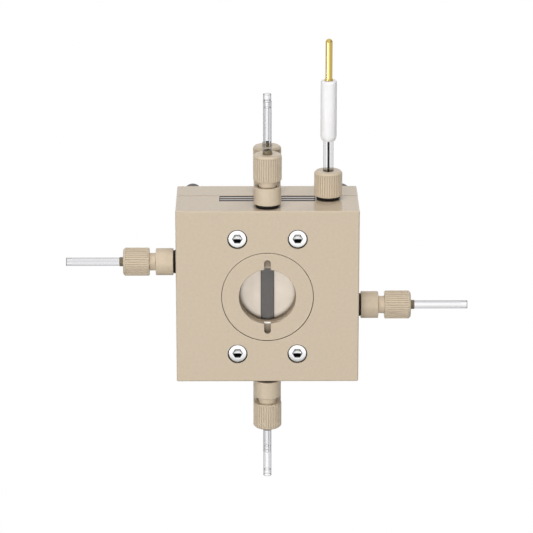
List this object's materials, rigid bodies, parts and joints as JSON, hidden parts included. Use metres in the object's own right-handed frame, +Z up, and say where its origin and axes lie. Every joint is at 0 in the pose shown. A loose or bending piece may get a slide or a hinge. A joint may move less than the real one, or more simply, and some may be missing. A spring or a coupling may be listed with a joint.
{
  "type": "gas diffusion electrolysis cell",
  "caption": "Clamped beige block with a round window, ribbed compression fittings with clear tube stubs, and a reference electrode, for watching gas diffusion electrolysis.",
  "frame": {"origin": "centre of the clamped block, where a stand clamp grips it", "axes": "+Z up along the reference electrode, -Y out of the window, +X towards the side with the reference electrode"},
  "size_m": [0.1556, 0.0395, 0.1724],
  "materials": {
    "peek": "machined beige engineering plastic, satin",
    "black_rubber": "black O-ring rubber",
    "gasket_rubber": "dark grey gasket sheet",
    "window_glass": "polished clear window",
    "stem_glass": "clear glass stem",
    "tube_clear": "clear tube, smooth",
    "white_ptfe": "white, waxy",
    "carrier_ptfe": "off-white, waxy",
    "carbon_strip": "grey carbon paper",
    "membrane_film": "translucent amber film",
    "titanium": "brushed grey sheet metal",
    "bright_screw": "bright stainless screw",
    "dark_screw": "black oxide screw",
    "ferrule": "dark bronze sleeve",
    "silver_wire": "tarnished silver wire",
    "gold_pin": "gold plated, polished"
  },
  "bodies": {
    "cell": {"front_plate": "peek", "back_plate": "peek", "window_glass": "window_glass", "window_seal": "white_ptfe", "diffusion_strip": "carbon_strip", "strip_carrier": "carrier_ptfe", "contact_pins": "titanium", "front_gasket": "gasket_rubber", "cathode_collector": "titanium", "flow_frame": "gasket_rubber", "membrane": "membrane_film", "anode_plate": "titanium", "rear_gasket": "gasket_rubber", "front_screws": "bright_screw", "back_screws": "dark_screw", "port_seals": "black_rubber", "reference_gland_ring": "black_rubber", "left_fitting_body": "peek", "right_fitting_body": "peek", "top_front_fitting_body": "peek", "top_rear_fitting_body": "peek", "bottom_front_fitting_body": "peek", "bottom_rear_fitting_body": "peek"},
    "left_tube": {"left_tube": "tube_clear", "left_ferrule": "ferrule"},
    "left_nut": {"left_nut": "peek"},
    "right_tube": {"right_tube": "tube_clear", "right_ferrule": "ferrule"},
    "right_nut": {"right_nut": "peek"},
    "top_front_tube": {"top_front_tube": "tube_clear", "top_front_ferrule": "ferrule"},
    "top_front_nut": {"top_front_nut": "peek"},
    "top_rear_tube": {"top_rear_tube": "tube_clear", "top_rear_ferrule": "ferrule"},
    "top_rear_nut": {"top_rear_nut": "peek"},
    "bottom_front_tube": {"bottom_front_tube": "tube_clear", "bottom_front_ferrule": "ferrule"},
    "bottom_front_nut": {"bottom_front_nut": "peek"},
    "bottom_rear_tube": {"bottom_rear_tube": "tube_clear", "bottom_rear_ferrule": "ferrule"},
    "bottom_rear_nut": {"bottom_rear_nut": "peek"},
    "window_slip_ring": {"window_slip_ring": "black_rubber"},
    "window_ring": {"window_ring": "peek"},
    "reference_seal": {"reference_seal": "black_rubber"},
    "reference_nut": {"reference_nut": "peek"},
    "reference_electrode": {"reference_glass": "stem_glass", "reference_plug": "white_ptfe", "reference_wire": "silver_wire", "reference_cap": "white_ptfe", "reference_pin": "gold_pin"}
  },
  "joints": [
    {"name": "left_tube_slide", "type": "slide", "parent": "cell", "child": "left_tube", "axis": [-1, 0, 0], "range_m": [-0.0022, 0.0018]},
    {"name": "left_nut_turn", "type": "hinge", "parent": "left_tube", "child": "left_nut", "pos_m": [-0.035, -0.00005, 0.0088], "axis": [-1, 0, 0], "range_deg": [-792, 648]},
    {"name": "right_tube_slide", "type": "slide", "parent": "cell", "child": "right_tube", "axis": [1, 0, 0], "range_m": [-0.0022, 0.0018]},
    {"name": "right_nut_turn", "type": "hinge", "parent": "right_tube", "child": "right_nut", "pos_m": [0.035, -0.00005, -0.0088], "axis": [1, 0, 0], "range_deg": [-792, 648]},
    {"name": "top_front_tube_slide", "type": "slide", "parent": "cell", "child": "top_front_tube", "axis": [0, 0, 1], "range_m": [-0.0022, 0.0018]},
    {"name": "top_front_nut_turn", "type": "hinge", "parent": "top_front_tube", "child": "top_front_nut", "pos_m": [0, -0.01095, 0.0342], "axis": [0, 0, 1], "range_deg": [-792, 648]},
    {"name": "top_rear_tube_slide", "type": "slide", "parent": "cell", "child": "top_rear_tube", "axis": [0, 0, 1], "range_m": [0, 0.004]},
    {"name": "top_rear_nut_turn", "type": "hinge", "parent": "top_rear_tube", "child": "top_rear_nut", "pos_m": [0, 0.00925, 0.0342], "axis": [0, 0, 1], "range_deg": [0, 1440]},
    {"name": "bottom_front_tube_slide", "type": "slide", "parent": "cell", "child": "bottom_front_tube", "axis": [0, 0, -1], "range_m": [-0.0022, 0.0018]},
    {"name": "bottom_front_nut_turn", "type": "hinge", "parent": "bottom_front_tube", "child": "bottom_front_nut", "pos_m": [0, -0.01095, -0.0342], "axis": [0, 0, -1], "range_deg": [-792, 648]},
    {"name": "bottom_rear_tube_slide", "type": "slide", "parent": "cell", "child": "bottom_rear_tube", "axis": [0, 0, -1], "range_m": [0, 0.004]},
    {"name": "bottom_rear_nut_turn", "type": "hinge", "parent": "bottom_rear_tube", "child": "bottom_rear_nut", "pos_m": [0, 0.00925, -0.0342], "axis": [0, 0, -1], "range_deg": [0, 1440]},
    {"name": "window_ring_slide", "type": "slide", "parent": "cell", "child": "window_slip_ring", "axis": [0, -1, 0], "range_m": [0, 0.003]},
    {"name": "window_ring_turn", "type": "hinge", "parent": "window_slip_ring", "child": "window_ring", "pos_m": [0, -0.01775, 0], "axis": [0, -1, 0], "range_deg": [0, 1080]},
    {"name": "reference_seal_lift", "type": "slide", "parent": "cell", "child": "reference_seal", "axis": [0, 0, 1], "range_m": [0, 0.005]},
    {"name": "reference_nut_turn", "type": "hinge", "parent": "reference_seal", "child": "reference_nut", "pos_m": [0.0234, -0.00005, 0.0342], "axis": [0, 0, 1], "range_deg": [0, 1800]},
    {"name": "reference_electrode_lift", "type": "slide", "parent": "cell", "child": "reference_electrode", "axis": [0, 0, 1], "range_m": [0, 0.03]}
  ],
  "couplings": [
    {"joint": "left_nut_turn", "follows": "left_tube_slide", "rad_per_m": 6283.2},
    {"joint": "right_nut_turn", "follows": "right_tube_slide", "rad_per_m": 6283.2},
    {"joint": "top_front_nut_turn", "follows": "top_front_tube_slide", "rad_per_m": 6283.2},
    {"joint": "top_rear_nut_turn", "follows": "top_rear_tube_slide", "rad_per_m": 6283.2},
    {"joint": "bottom_front_nut_turn", "follows": "bottom_front_tube_slide", "rad_per_m": 6283.2},
    {"joint": "bottom_rear_nut_turn", "follows": "bottom_rear_tube_slide", "rad_per_m": 6283.2},
    {"joint": "window_ring_turn", "follows": "window_ring_slide", "rad_per_m": 6283.2},
    {"joint": "reference_nut_turn", "follows": "reference_seal_lift", "rad_per_m": 6283.2}
  ]
}
